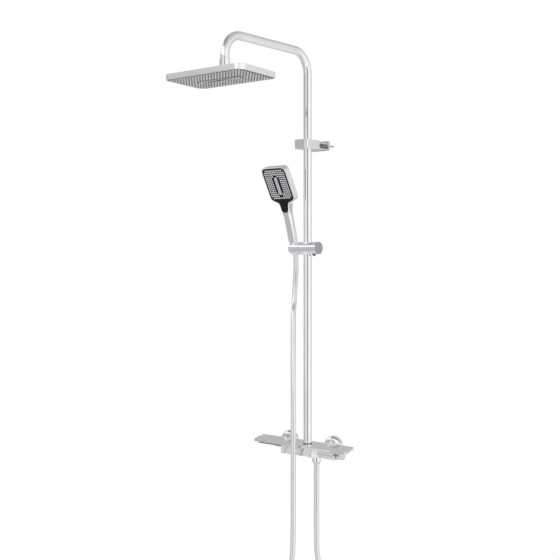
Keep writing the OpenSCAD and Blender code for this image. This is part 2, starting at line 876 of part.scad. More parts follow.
module lock_button() {
    color("dimgray") at_slider() translate([lock_x, 0, 0]) {
        up(lock_r, -slider_r - 2, -slider_r + lock_l - 4);
        intersection() {
            up(lock_r, -slider_r - 5, -slider_r - 2);
            translate([0, 0, -slider_r + 0.6]) sphere(lock_r);
        }
    }
}

module lock_spring() {
    color("silver") at_slider() translate([lock_x, 0, 0]) difference() {
        up(lock_r - 1, -slider_r + lock_l - 4 + lock_travel + 0.2, -slider_r + lock_l + lock_travel);
        up(lock_r - 2.2, -slider_r + lock_l - 5, -slider_r + lock_l + lock_travel + eps);
    }
}

module cradle_pivot() {
    color("silver") at_slider() along_x(pivot_r, cradle_x0 - 8, -bush_r + 1 - loose);
}

module cradle() {
    far = cradle_x1;
    color("gainsboro") at_slider() difference() {
        union() {
            along_x(slider_r, far + 4, cradle_x0);
            rotate([0, -90, 0]) translate([0, 0, -far - 4])
                cylinder(h = 4, r1 = slider_r, r2 = slider_r - 3.2);
        }
        along_x(pivot_r + slip, cradle_x0 - 8 - slip, cradle_x0 + eps);
        translate([socket_x, 0, 0]) rotate([lean, 0, 0]) {
            up(cone_tip_r + slip, -2 * slider_r, 0);
            up(cone_tip_r + slip, hose_z0, cone_nut_top, cone_r + slip);
            up(cone_r + slip, cone_nut_top - eps, 2 * slider_r);
            translate([-slider_d, -hose_slot / 2, -2 * slider_r]) cube([slider_d, hose_slot, 4 * slider_r]);
        }
    }
}

// ---------------------------------------------------------------- handset

// The head's face plane tilts forward from the handle; its origin is the face's lower edge
module head_frame() {
    translate([0, 0, head_z0]) rotate([face_tilt, 0, 0]) children();
}

// The handset seen from the front, from the handle's end to the top of the head
module hand_outline() {
    w = hand_w / 2;
    n = handle_w / 2;
    top = head_z0 + hand_h * cos(face_tilt);
    rounded_outline([
        [w, top, hand_corner], [-w, top, hand_corner], [-w, head_z0 + 4, hand_corner],
        [-n - 3, head_z0 - 7, 9], [-n, head_z0 - 30, 30], [-n, handle_z0, 3],
        [n, handle_z0, 3], [n, head_z0 - 30, 30], [n + 3, head_z0 - 7, 9], [w, head_z0 + 4, hand_corner]
    ]);
}

// The handset seen from the side, as (y, z)
module hand_side() {
    front = handle_t / 2 - hand_t;
    back = handle_t / 2;
    reach_y = hand_h * sin(face_tilt);
    top = head_z0 + hand_h * cos(face_tilt);
    lift = hand_t * sin(face_tilt);
    rounded_outline([
        [back, handle_z0, 3], [back, head_z0, 90], [back - reach_y, top + lift / 2, 6],
        [front - 1 - reach_y, top - lift / 2, 3], [front - 1, head_z0, 0],
        [front - 1, head_z0 - 34, 60], [-handle_t / 2, head_z0 - 60, 60], [-handle_t / 2, handle_z0, 3]
    ]);
}

// Rounds the handle's cross-section and lets go of it below the head
module hand_trim() {
    rotate_extrude() polygon([
        [0, handle_z0 - 1], [handle_round, handle_z0 - 1], [handle_round, neck_z],
        [shoulder_r, shoulder_z], [hand_w / 2 + 8, head_z0 + 3], [hand_w, head_z0 + 3],
        [hand_w, head_z0 + hand_h + hand_t], [0, head_z0 + hand_h + hand_t]
    ]);
}

module handset_shell() {
    color("silver") at_handset() difference() {
        intersection() {
            translate([0, 40, 0]) rotate([90, 0, 0]) linear_extrude(90) hand_outline();
            section_along_x(-hand_w, hand_w) hand_side();
            hand_trim();
        }
        on_face() translate([0, 0, -hand_face_t]) linear_extrude(hand_face_t + 8) face_outline(0);
        on_face() translate([0, hand_h / 2 + 2, hand_wall + 1 - hand_t])
            linear_extrude(hand_t - hand_wall - 1) round_rect(hand_w - 12, hand_h - 18, 6);
        on_face() translate([0, hand_button_y, 0])
            up(hand_pocket_r, -hand_face_t - hand_button_travel - loose, 0);
        up(hand_pipe_r + slip, handle_z0 - eps, head_z0 + 14);
    }
}

// Outline of the black face inside the shell's front, in the face's plane
module face_outline(inset = 0) {
    w = hand_w / 2 - 2 - inset;
    tip = 10.5 - inset / 2;
    rounded_outline([
        [w, hand_h - 2 - inset, 13], [-w, hand_h - 2 - inset, 13], [-w, 6 + inset, 12],
        [-tip - 4, -3 + inset, 6], [-tip, -29 + inset, tip - 0.5], [tip, -29 + inset, tip - 0.5],
        [tip + 4, -3 + inset, 6], [w, 6 + inset, 12]
    ]);
}

function hand_spot(i, j) = [
    (i - (hand_nozzles_x - 1) / 2) * hand_pitch_x,
    16 + j * hand_pitch_z
];
hand_spots = [
    for (i = [0:hand_nozzles_x - 1], j = [0:hand_nozzles_z - 1])
        let (p = hand_spot(i, j))
            if (abs(p[0]) > jet_w / 2 + hand_nozzle_r + 1) p
];
hand_front = handle_t / 2 - hand_t - 1;

// Places children in the face's plane: x across, y up the face, z out of the face
module on_face() {
    head_frame() translate([0, hand_front, 0]) rotate([90, 0, 0]) children();
}

module handset_face() {
    color("black") at_handset() on_face() difference() {
        translate([0, 0, -hand_face_t]) linear_extrude(hand_face_t) face_outline(0.1);
        for (p = hand_spots) translate(p) up(hand_nozzle_r, -hand_face_t - eps, eps);
        translate([0, 12 + hand_h / 2 - 16, -hand_face_t - eps]) linear_extrude(hand_face_t + 2 * eps)
            round_rect(jet_w, jet_h, jet_w / 2 - slip);
        translate([0, hand_button_y, 0]) up(hand_button_r + slip, -hand_face_t - eps, eps);
    }
}

module handset_nozzles() {
    color("lightgray") at_handset() on_face() {
        translate([0, hand_h / 2 + 2, -hand_face_t - 1.2]) linear_extrude(1.2)
            difference() {
                round_rect(hand_w - 14, hand_h - 20, 4);
                translate([0, -6]) square([jet_w + 2, jet_h + 2], center = true);
            }
        for (p = hand_spots) translate(p) up(hand_nozzle_r, -hand_face_t, 1);
    }
}

module jet_bar() {
    color("silver") at_handset() on_face() translate([0, 12 + hand_h / 2 - 16, -hand_face_t])
        linear_extrude(hand_face_t + 0.6)
            round_rect(jet_w - 2 * slip, jet_h - 2 * slip, jet_w / 2 - 2 * slip);
}

module handset_button() {
    color("black") at_handset() on_face() translate([0, hand_button_y, 0]) {
        up(hand_button_r, -1.5, 1.6);
    }
}

module handset_pipe() {
    color("ivory") at_handset() difference() {
        up(hand_pipe_r, handle_z0, hand_pipe_top);
        up(hand_bore, handle_z0 - eps, hand_pipe_top + eps);
    }
}

module handset_connector() {
    color("silver") at_handset() difference() {
        union() {
            up(handle_w / 2 - 3, cone_nut_top + 0.2, handle_z0);
            up(hand_thread_r, cone_nut_top - hand_thread_l, cone_nut_top + 0.2);
        }
        up(hand_bore, cone_nut_top - hand_thread_l - eps, handle_z0 + eps);
    }
}

// ---------------------------------------------------------------- hose and what is on it

module hose_cone_nut() {
    color("gainsboro") at_handset() difference() {
        up(cone_tip_r, cone_nut_top - cone_len, cone_nut_top, cone_r);
        up(hand_thread_r + slip, cone_nut_top - hand_thread_l - seal_t, cone_nut_top + eps);
        up(hose_r - 2.5, cone_nut_top - cone_len - eps, cone_nut_top);
    }
}

module hose_valve_nut() {
    color("gainsboro") translate([outlet_x, -riser_y, 0]) difference() {
        union() {
            up(hose_r + 2, valve_nut_z, nut_taper_z, valve_nut_r);
            up(valve_nut_r, nut_taper_z, valve_nut_z + valve_nut_l);
        }
        up(outlet_r + slip, body_bottom - outlet_l - seal_t, body_bottom + eps);
        up(hose_r - 2.5, valve_nut_z - eps, body_bottom);
    }
}

module handset_washer() {
    color("dimgray") at_handset() difference() {
        up(hand_thread_r - 0.2, cone_nut_top - hand_thread_l - seal_t, cone_nut_top - hand_thread_l);
        up(4, cone_nut_top - hand_thread_l - seal_t - eps, cone_nut_top);
    }
}

module valve_washer() {
    color("dimgray") translate([outlet_x, -riser_y, 0]) difference() {
        up(outlet_r - 0.2, body_bottom - outlet_l - seal_t, body_bottom - outlet_l);
        up(4.5, body_bottom - outlet_l - seal_t - eps, body_bottom);
    }
}

// A point of the smooth curve through the route, at step t of its stretch k
function route_point(k, t) =
    let (
        n = len(HOSE),
        a = HOSE[max(k - 1, 0)],
        b = HOSE[k],
        c = HOSE[min(k + 1, n - 1)],
        d = HOSE[min(k + 2, n - 1)]
    )
    0.5 * (2 * b + (c - a) * t + (2 * a - 5 * b + 4 * c - d) * t * t + (3 * b - a - 3 * c + d) * t * t * t);
hose_line = concat(
    [for (k = [0:len(HOSE) - 2], s = [0:hose_rings - 1]) route_point(k, s / hose_rings)],
    [HOSE[len(HOSE) - 1]]
);
hose_count = len(hose_line);

// The tube's direction at ring i; the first and last rings lie flat on the nuts
function ring_dir(i) =
    i == 0 ? hose_start_dir :
    i == hose_count - 1 ? [0, 0, 1] :
    unit(hose_line[i + 1] - hose_line[i - 1]);
function ring_side(d) = unit(cross(d, [0.7, 1, 0]));
function hose_ring(i) =
    let (d = ring_dir(i), u = ring_side(d), v = cross(d, u))
    [for (s = [0:hose_sides - 1])
        hose_line[i] + hose_r * (u * cos(360 * s / hose_sides) + v * sin(360 * s / hose_sides))];

module hose() {
    points = [for (i = [0:hose_count - 1]) each hose_ring(i)];
    walls = [for (i = [0:hose_count - 2], s = [0:hose_sides - 1])
        let (a = i * hose_sides + s, b = i * hose_sides + (s + 1) % hose_sides)
        [a, b, b + hose_sides, a + hose_sides]];
    first = [for (s = [hose_sides - 1:-1:0]) s];
    last = [for (s = [0:hose_sides - 1]) (hose_count - 1) * hose_sides + s];
    color("lightsteelblue") polyhedron(points, concat(walls, [first], [last]));
}

// ---------------------------------------------------------------- the nodes

wall_union(-half_pitch);  // left_union
wall_union(half_pitch);  // right_union
rosette(-half_pitch);  // left_rosette
rosette(half_pitch);  // right_rosette
union_nut(-half_pitch);  // left_union_nut
union_nut(half_pitch);  // right_union_nut
union_seals();
check_valves();
valve_body();
left_end_cap();
shelf_plate();
shelf_rail();
front_fascia();
push_button(0);  // left_button
push_button(1);  // middle_button
push_button(2);  // right_button
button_springs();
shutoff_cartridges();
thermostat_cartridge();
thermostat_knob();
knob_cap();
hose_outlet();
riser_seal();
riser_collar();
lower_riser();
joiner_sleeve();
joiner_seals();
bracket_clamp();
bracket_grub_screw();
bracket_neck();
bracket_wall_plate();
bracket_screws();
shower_arm();
head_nut();
head_washer();
swivel_ball();
ball_seat();
head_housing();
head_face();
head_nozzles();
waterfall_outlet();
slider_body();
slider_bush();
slider_end_cap();
lock_button();
lock_spring();
cradle_pivot();
cradle();
handset_shell();
handset_face();
handset_nozzles();
jet_bar();
handset_button();
handset_pipe();
handset_connector();
hose_cone_nut();
hose_valve_nut();
handset_washer();
valve_washer();
hose();
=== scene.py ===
# %% [markdown]
# # A rainfall shower column
# This lesson dresses a wall-mounted shower column: a thermostatic mixer that is also a shelf, a
# riser with a swivelling arm and a flat rain head, and a handset on a sliding cradle. The hard
# parts come from the measured frame. Blender adds soft edges, the finer nozzles, real springs,
# the hose and every finish.

# %% Load the frame
import json
import math

import bmesh
import bpy
from mathutils import Matrix, Vector
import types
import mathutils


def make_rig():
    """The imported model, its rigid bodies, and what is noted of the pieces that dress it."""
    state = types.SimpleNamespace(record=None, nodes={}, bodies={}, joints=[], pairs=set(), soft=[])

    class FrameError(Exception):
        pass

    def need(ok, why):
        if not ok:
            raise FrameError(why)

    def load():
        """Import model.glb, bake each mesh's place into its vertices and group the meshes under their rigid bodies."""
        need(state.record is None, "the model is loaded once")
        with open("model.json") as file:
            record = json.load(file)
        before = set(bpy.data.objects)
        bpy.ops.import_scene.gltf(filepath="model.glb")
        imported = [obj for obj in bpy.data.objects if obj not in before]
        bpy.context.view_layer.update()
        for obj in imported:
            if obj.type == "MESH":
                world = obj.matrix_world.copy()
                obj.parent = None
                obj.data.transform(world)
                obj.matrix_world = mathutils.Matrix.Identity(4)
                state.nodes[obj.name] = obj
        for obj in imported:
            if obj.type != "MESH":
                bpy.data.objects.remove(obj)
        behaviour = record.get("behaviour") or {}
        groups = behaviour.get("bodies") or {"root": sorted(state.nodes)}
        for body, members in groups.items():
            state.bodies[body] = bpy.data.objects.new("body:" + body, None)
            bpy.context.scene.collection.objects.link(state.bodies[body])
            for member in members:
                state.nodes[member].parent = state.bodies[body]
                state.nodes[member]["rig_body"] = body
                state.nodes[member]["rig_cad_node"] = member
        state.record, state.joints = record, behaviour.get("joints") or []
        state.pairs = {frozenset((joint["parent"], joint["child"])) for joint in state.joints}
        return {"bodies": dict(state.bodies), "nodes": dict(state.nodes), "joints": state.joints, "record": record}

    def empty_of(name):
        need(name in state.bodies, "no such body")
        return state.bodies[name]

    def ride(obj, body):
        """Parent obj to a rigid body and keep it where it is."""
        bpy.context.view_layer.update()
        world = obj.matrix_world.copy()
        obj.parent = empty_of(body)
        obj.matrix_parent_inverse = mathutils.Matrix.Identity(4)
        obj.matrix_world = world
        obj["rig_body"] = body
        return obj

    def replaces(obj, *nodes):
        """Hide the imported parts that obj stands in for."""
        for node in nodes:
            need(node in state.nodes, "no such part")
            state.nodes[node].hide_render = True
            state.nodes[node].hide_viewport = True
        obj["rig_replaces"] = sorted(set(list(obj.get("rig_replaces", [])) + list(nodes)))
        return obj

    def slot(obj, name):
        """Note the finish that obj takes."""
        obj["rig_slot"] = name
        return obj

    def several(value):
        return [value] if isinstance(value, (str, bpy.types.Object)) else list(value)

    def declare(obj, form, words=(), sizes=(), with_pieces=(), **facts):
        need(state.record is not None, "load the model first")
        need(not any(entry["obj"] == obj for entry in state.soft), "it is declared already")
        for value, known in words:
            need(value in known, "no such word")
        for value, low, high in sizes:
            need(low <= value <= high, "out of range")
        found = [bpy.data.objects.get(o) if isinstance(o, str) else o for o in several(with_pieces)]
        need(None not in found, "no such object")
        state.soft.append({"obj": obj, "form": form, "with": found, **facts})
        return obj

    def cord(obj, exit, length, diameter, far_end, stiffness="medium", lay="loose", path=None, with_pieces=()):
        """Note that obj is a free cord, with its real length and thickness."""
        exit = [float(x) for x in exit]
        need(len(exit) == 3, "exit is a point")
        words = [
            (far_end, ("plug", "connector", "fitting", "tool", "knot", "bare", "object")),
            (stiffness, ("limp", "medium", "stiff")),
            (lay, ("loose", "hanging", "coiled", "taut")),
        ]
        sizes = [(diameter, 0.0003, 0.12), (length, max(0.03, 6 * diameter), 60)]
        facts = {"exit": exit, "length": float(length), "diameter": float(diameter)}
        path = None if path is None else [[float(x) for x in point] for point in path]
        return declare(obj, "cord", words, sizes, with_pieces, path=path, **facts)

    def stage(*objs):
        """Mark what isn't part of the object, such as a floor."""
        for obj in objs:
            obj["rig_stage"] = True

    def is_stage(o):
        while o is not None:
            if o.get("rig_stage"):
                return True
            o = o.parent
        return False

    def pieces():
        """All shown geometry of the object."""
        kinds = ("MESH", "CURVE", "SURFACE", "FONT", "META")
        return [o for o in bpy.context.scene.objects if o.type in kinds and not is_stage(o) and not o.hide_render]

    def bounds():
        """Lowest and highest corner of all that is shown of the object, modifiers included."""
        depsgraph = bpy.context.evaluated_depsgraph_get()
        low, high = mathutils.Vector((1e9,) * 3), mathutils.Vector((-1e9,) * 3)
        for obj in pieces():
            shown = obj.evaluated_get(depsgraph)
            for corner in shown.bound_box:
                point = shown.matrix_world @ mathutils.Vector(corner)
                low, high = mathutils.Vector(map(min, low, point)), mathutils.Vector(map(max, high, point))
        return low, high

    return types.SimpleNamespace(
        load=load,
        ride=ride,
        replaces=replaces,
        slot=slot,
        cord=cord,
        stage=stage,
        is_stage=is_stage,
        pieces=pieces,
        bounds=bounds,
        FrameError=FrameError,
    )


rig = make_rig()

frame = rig.load()
cad_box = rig.bounds()
MM = 0.001
print("bodies:", ", ".join(frame["bodies"]))

# %% [markdown]
# ## Named places
# The riser, the slider, the rain head and the handset each have their own axes. Every finer
# piece is built in one of these small frames, so a change of the lean needs one number only.

# %% Places on the object, in metres
RISER = Vector((0.030, -0.060, 0.0))
SLIDER_Z = 0.538
SWIVEL = Vector((0.030, -0.390, 0.962))
HEAD_SIZE = (0.252, 0.138)
HEAD_BOTTOM = 0.942
HEAD_AHEAD = 0.017
HEAD_TILT = math.radians(-2)
LEAN = math.radians(17)
FACE_TILT = math.radians(12)
SOCKET_X = -0.044
FACE_Z = 0.134254
FACE_Y = -0.0105


def turn_x(angle):
    return Matrix.Rotation(angle, 4, "X")


def shift(x, y, z):
    return Matrix.Translation((x, y, z))


HEAD_FRAME = (
    Matrix.Translation(SWIVEL) @ turn_x(HEAD_TILT) @ shift(0, -HEAD_AHEAD, HEAD_BOTTOM - SWIVEL.z)
)
HAND_FRAME = shift(RISER.x + SOCKET_X, RISER.y, SLIDER_Z) @ turn_x(LEAN)
FACE_FRAME = (
    HAND_FRAME @ shift(0, 0, FACE_Z) @ turn_x(FACE_TILT) @ shift(0, FACE_Y, 0)
    @ turn_x(math.radians(90))
)
print("handset face looks along", [round(v, 3) for v in FACE_FRAME.to_3x3() @ Vector((0, 0, 1))])

# %% [markdown]
# ## The camera
# The column is seen from its right and a little above the shelf. The lens is long and the camera
# stays level, so the riser stands upright in the picture; a small shift frames the top.

# %% Camera
camera_data = bpy.data.cameras.new("shop_camera")
camera_data.sensor_width = 36
camera_data.lens = 64.29
camera_data.shift_y = -24 / 560
camera = bpy.data.objects.new("shop_camera", camera_data)
camera.location = (1.6591, -2.1893, 0.517)
camera.rotation_euler = (math.radians(90), 0, math.radians(39))
bpy.context.scene.collection.objects.link(camera)
bpy.context.scene.camera = camera
print("camera", tuple(round(v, 2) for v in camera.location))

# %% [markdown]
# ## The hose
# A shower hose is one and a half metres of smooth silvered tube. It leaves the nut in the cradle,
# hangs in a long bow past the shelf, turns below, and climbs into the outlet under the mixer.
# Its route is a list of round points; a smooth curve through them becomes the tube's centre line.

# %% Route of the hose
HOSE_D = 0.014
HOSE_LENGTH = 1.5
NUT_EXIT = (-0.014, -0.0551, 0.5221)
VALVE_END = (0.060, -0.060, -0.0352)
HOSE_ROUTE = [
    NUT_EXIT, (-0.017, -0.0501, 0.5049), (-0.021, -0.0451, 0.4819), (-0.024, -0.0431, 0.4553),
    (-0.024, -0.0461, 0.4250), (-0.021, -0.0531, 0.3900), (-0.013, -0.0671, 0.3602),
    (-0.004, -0.0791, 0.3002), (0.006, -0.0921, 0.2302), (0.015, -0.1031, 0.1603),
    (0.021, -0.1101, 0.0898), (0.024, -0.1141, 0.0198), (0.025, -0.116, -0.0602),
    (0.025, -0.116, -0.1402), (0.024, -0.115, -0.2102), (0.023, -0.117, -0.2722),
    (0.020, -0.123, -0.3072), (0.014, -0.133, -0.3422), (0.010, -0.141, -0.3722),
    (0.010, -0.141, -0.3992), (0.015, -0.134, -0.4292), (0.027, -0.115, -0.4522),
    (0.044, -0.088, -0.4612), (0.060, -0.060, -0.4522), (0.072, -0.040, -0.4292),
    (0.077, -0.032, -0.3992), (0.075, -0.034, -0.3722), (0.071, -0.042, -0.3422),
    (0.065, -0.052, -0.3072), (0.061, -0.059, -0.2722), (0.060, -0.060, -0.2002),
    (0.060, -0.060, -0.1302), (0.060, -0.060, -0.0802), VALVE_END,
]


def smooth_line(points, steps):
    """A Catmull-Rom curve through the points, as many short straight steps."""
    p = [Vector(q) for q in points]
    line = []
    for k in range(len(p) - 1):
        a, b, c, d = p[max(k - 1, 0)], p[k], p[k + 1], p[min(k + 2, len(p) - 1)]
        for s in range(steps):
            t = s / steps
            line.append(0.5 * (2 * b + (c - a) * t + (2 * a - 5 * b + 4 * c - d) * t * t
                               + (3 * b - a - 3 * c + d) * t ** 3))
    line.append(p[-1])
    return line


HOSE_LINE = smooth_line(HOSE_ROUTE, 6)
print("hose line", round(sum((b - a).length for a, b in zip(HOSE_LINE, HOSE_LINE[1:])), 3), "m")

# %% [markdown]
# ## Two helpers for meshes
# A tube is swept by carrying a small circle along the line without letting it twist. The circle's
# points become rings, and the rings are joined with quads. A UV map keeps the distance along the
# hose, which the finish uses for its fine winding.

# %% Tube helper


def new_piece(name, bm, smooth_angle=35):
    """A mesh object from a bmesh, smooth but for edges sharper than the angle."""
    mesh = bpy.data.meshes.new(name)
    bm.to_mesh(mesh)
    bm.free()
    mesh.shade_smooth()
    mesh.set_sharp_from_angle(angle=math.radians(smooth_angle))
    piece = bpy.data.objects.new(name, mesh)
    bpy.context.scene.collection.objects.link(piece)
    return piece


def sweep(bm, line, radius, sides, capped=True):
    """Adds a tube along a line of points to a bmesh, with u round it and v along it in metres."""
    uv = bm.loops.layers.uv.verify()
    rings, lengths, run = [], [], 0.0
    up = None
    for k, point in enumerate(line):
        ahead = (line[min(k + 1, len(line) - 1)] - line[max(k - 1, 0)]).normalized()
        if up is None:
            up = ahead.orthogonal().normalized()
        up = (up - ahead * up.dot(ahead)).normalized()
        side = ahead.cross(up)
        run += (point - line[k - 1]).length if k else 0.0
        lengths.append(run)
        rings.append([
            bm.verts.new(point + (up * math.cos(a) + side * math.sin(a)) * radius)
            for a in (2 * math.pi * s / sides for s in range(sides))
        ])
    for k in range(len(rings) - 1):
        for s in range(sides):
            n = (s + 1) % sides
            face = bm.faces.new((rings[k][s], rings[k][n], rings[k + 1][n], rings[k + 1][s]))
            corners = ((s, k), (s + 1, k), (s + 1, k + 1), (s, k + 1))
            for loop, (u, v) in zip(face.loops, corners):
                loop[uv].uv = (u / sides, lengths[v])
    if capped:
        bm.faces.new(list(reversed(rings[0])))
        bm.faces.new(rings[-1])


print("helpers: new_piece, sweep")

# %% [markdown]
# A bezier curve with a bevel would also give a tube. The swept mesh is used here because its rings
# and its UV map are exact, so the winding on it keeps one pitch.

# %% Make the hose
hose_mesh = bmesh.new()
sweep(hose_mesh, HOSE_LINE, HOSE_D / 2, 24)
hose = new_piece("hose_tube", hose_mesh, 60)
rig.ride(hose, "column")
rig.replaces(hose, "hose")
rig.slot(hose, "hose_skin")
print("hose has", len(hose.data.polygons), "faces")

# %% [markdown]
# ## Floor and light
# Plated metal has no colour of its own: it shows the room. So the room is a soft white studio with
# a few grey panels, which give the thin dark lines that make a pipe look round. The sky node turns
# a direction into an angle round the object, and a colour ramp says how bright the studio is there.
# The floor is a plain round disc far below the hose. It belongs to the stage, not to the object.

# %% Floor
FLOOR_Z = -1.1
FLOOR_R = 1.7
floor_mesh = bmesh.new()
bmesh.ops.create_circle(floor_mesh, cap_ends=True, radius=FLOOR_R, segments=96)
bmesh.ops.translate(floor_mesh, verts=floor_mesh.verts, vec=(0.03, -0.2, FLOOR_Z))
floor = new_piece("floor", floor_mesh)
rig.stage(floor)
print("floor", FLOOR_R * 2, "m across, at", FLOOR_Z)

# %% [markdown]
# The next cell holds small helpers for shader nodes: one line each for a link, a sum, a colour
# ramp and a mix. They keep the finishes short, because every finish is made of the same few nodes.

# %% Node helpers


def link(tree, out, into):
    tree.links.new(out, into)


def math_node(tree, what, a, b=None, clamp=False):
    node = tree.nodes.new("ShaderNodeMath")
    node.operation = what
    node.use_clamp = clamp
    for k, v in enumerate((a, b)):
        if v is None:
            continue
        if isinstance(v, (int, float)):
            node.inputs[k].default_value = v
        else:
            link(tree, v, node.inputs[k])
    return node.outputs[0]


def ramp_node(tree, value, stops):
    """A colour ramp; a stop is (place, grey) or (place, (r, g, b))."""
    node = tree.nodes.new("ShaderNodeValToRGB")
    points = node.color_ramp.elements
    while len(points) < len(stops):
        points.new(0.5)
    for point, (place, colour) in zip(points, stops):
        rgb = (colour,) * 3 if isinstance(colour, (int, float)) else colour
        point.position = place
        point.color = (*rgb, 1)
    link(tree, value, node.inputs[0])
    return node.outputs[0]


def mix_colours(tree, factor, a, b, blend="MIX"):
    node = tree.nodes.new("ShaderNodeMix")
    node.data_type = "RGBA"
    node.blend_type = blend
    for value, socket in ((factor, "Factor"), (a, "A"), (b, "B")):
        if isinstance(value, (int, float, tuple)):
            node.inputs[socket].default_value = value
        else:
            link(tree, value, node.inputs[socket])
    return node.outputs["Result"]


print("helpers: link, math_node, ramp_node, mix_colours")

# %% [markdown]
# The studio is two lists of brightness: one goes round the object, the other from below to above.
# The side to the left of the column is darker above and below than the side to the right. One dark
# strip behind the viewer gives the thin dark line along the pipes. Rays that come straight from the
# camera see plain white, so the object stands on a white page.

# %% Studio sky
VIEW_AZIMUTH = math.radians(37.4)
STUDIO = [
    (0.000, 0.52), (0.153, 0.56), (0.240, 0.60), (0.300, 0.54), (0.350, 0.96), (0.430, 0.92),
    (0.500, 0.88), (0.570, 0.96), (0.640, 1.06), (0.733, 0.88), (0.800, 0.72), (0.900, 0.62),
    (1.000, 0.52),
]
LEFT_HEIGHTS = [(0.0, 0.35), (0.10, 0.55), (0.25, 0.74), (0.40, 0.92), (0.5, 1.0), (0.605, 0.74),
                (0.635, 1.6), (0.80, 1.6), (0.85, 0.5), (0.93, 0.22), (1.0, 0.45)]
RIGHT_HEIGHTS = [(0.0, 0.90), (0.20, 1.05), (0.42, 1.0), (0.5, 1.0), (0.65, 1.0), (0.85, 0.66),
                 (1.0, 0.50)]
LEFT_SIDE = [(0.08, 0.0), (0.15, 1.0), (0.38, 1.0), (0.44, 0.0)]
STRIP_SIDES = [(0.464, 0.0), (0.469, 1.0), (0.531, 1.0), (0.536, 0.0)]
STRIP_ENDS = [(0.26, 0.0), (0.32, 1.0), (0.592, 1.0), (0.606, 0.0)]
STRIP_DEPTH = 0.82

world = bpy.data.worlds.new("white_studio")
bpy.context.scene.world = world
world.use_nodes = True
sky = world.node_tree
sky.nodes.clear()
direction = sky.nodes.new("ShaderNodeTexCoord").outputs["Generated"]
parts = sky.nodes.new("ShaderNodeSeparateXYZ")
link(sky, direction, parts.inputs[0])
toward_front = math_node(sky, "MULTIPLY", parts.outputs["Y"], -1)
angle = math_node(sky, "ARCTAN2", parts.outputs["X"], toward_front)
turned = math_node(sky, "SUBTRACT", angle, VIEW_AZIMUTH)
turns = math_node(sky, "DIVIDE", turned, 2 * math.pi)
share = math_node(sky, "FRACT", math_node(sky, "ADD", turns, 1.5))
around = ramp_node(sky, share, STUDIO)
height = math_node(sky, "ADD", math_node(sky, "MULTIPLY", parts.outputs["Z"], 0.5), 0.5)

overhead = mix_colours(sky, ramp_node(sky, share, LEFT_SIDE), ramp_node(sky, height, RIGHT_HEIGHTS),
                       ramp_node(sky, height, LEFT_HEIGHTS))
steep = math_node(sky, "MULTIPLY", parts.outputs["Z"], parts.outputs["Z"])
level = math_node(sky, "SUBTRACT", 1.0, steep)
walls = mix_colours(sky, level, (0.95, 0.95, 0.97, 1), around)
strip_side = ramp_node(sky, share, STRIP_SIDES)
strip = math_node(sky, "MULTIPLY", strip_side, ramp_node(sky, height, STRIP_ENDS))
kept = math_node(sky, "SUBTRACT", 1.0, math_node(sky, "MULTIPLY", strip, STRIP_DEPTH))
lit = mix_colours(sky, 1.0, walls, overhead, "MULTIPLY")
studio_light = sky.nodes.new("ShaderNodeBackground")
link(sky, lit, studio_light.inputs["Color"])
link(sky, kept, studio_light.inputs["Strength"])
paper_white = sky.nodes.new("ShaderNodeBackground")
paper_white.inputs["Color"].default_value = (1, 1, 1, 1)
seen = sky.nodes.new("ShaderNodeLightPath").outputs["Is Camera Ray"]
choose = sky.nodes.new("ShaderNodeMixShader")
link(sky, seen, choose.inputs[0])
link(sky, studio_light.outputs[0], choose.inputs[1])
link(sky, paper_white.outputs[0], choose.inputs[2])
link(sky, choose.outputs[0], sky.nodes.new("ShaderNodeOutputWorld").inputs[0])
bpy.context.scene.view_settings.view_transform = "Standard"
print("studio has", len(STUDIO), "brightness stops")

# %% [markdown]
# Two softboxes add a gentle light from the left front and a weaker one from the right. They are
# hidden from glossy rays, because a mirror-like pipe would show them as hard white squares.

# %% Softboxes


def softbox(name, place, aim, size, power):
    data = bpy.data.lights.new(name, "AREA")
    data.shape = "RECTANGLE"
    data.size, data.size_y = size
    data.energy = power
    lamp = bpy.data.objects.new(name, data)
    lamp.location = place
    lamp.rotation_euler = (Vector(aim) - Vector(place)).to_track_quat("-Z", "Y").to_euler()
    lamp.visible_glossy = False
    bpy.context.scene.collection.objects.link(lamp)
    return lamp


softbox("key_box", (-1.6, -2.6, 2.0), (0.03, -0.1, 0.5), (1.2, 1.6), 38)
softbox("fill_box", (2.4, -0.6, 1.2), (0.03, -0.1, 0.5), (0.8, 1.8), 14)
print("two softboxes")

# %% [markdown]
# ## Shared surface effects
# Three effects come back in most finishes, so each is a node group that is built once: dried water
# spots on a bathroom surface, the faint waviness of polished plating, and the fine grain of a
# moulded part. A group gives out only a mask or a normal; each finish keeps its own shader.

# %% Effect groups


def new_group(name, numbers, outputs):
    """An empty node group with a Vector input, number inputs and the named outputs."""
    group = bpy.data.node_groups.new(name, "ShaderNodeTree")
    group.interface.new_socket("Vector", in_out="INPUT", socket_type="NodeSocketVector")
    for label, value in numbers.items():
        socket = group.interface.new_socket(label, in_out="INPUT", socket_type="NodeSocketFloat")
        socket.default_value = value
    for label, kind in outputs.items():
        group.interface.new_socket(label, in_out="OUTPUT", socket_type=kind)
    return group, group.nodes.new("NodeGroupInput"), group.nodes.new("NodeGroupOutput")


def noise_node(tree, vector, scale, detail=3.0):
    node = tree.nodes.new("ShaderNodeTexNoise")
    node.inputs["Detail"].default_value = detail
    link(tree, vector, node.inputs["Vector"])
    if isinstance(scale, (int, float)):
        node.inputs["Scale"].default_value = scale
    else:
        link(tree, scale, node.inputs["Scale"])
    return node.outputs["Fac"]


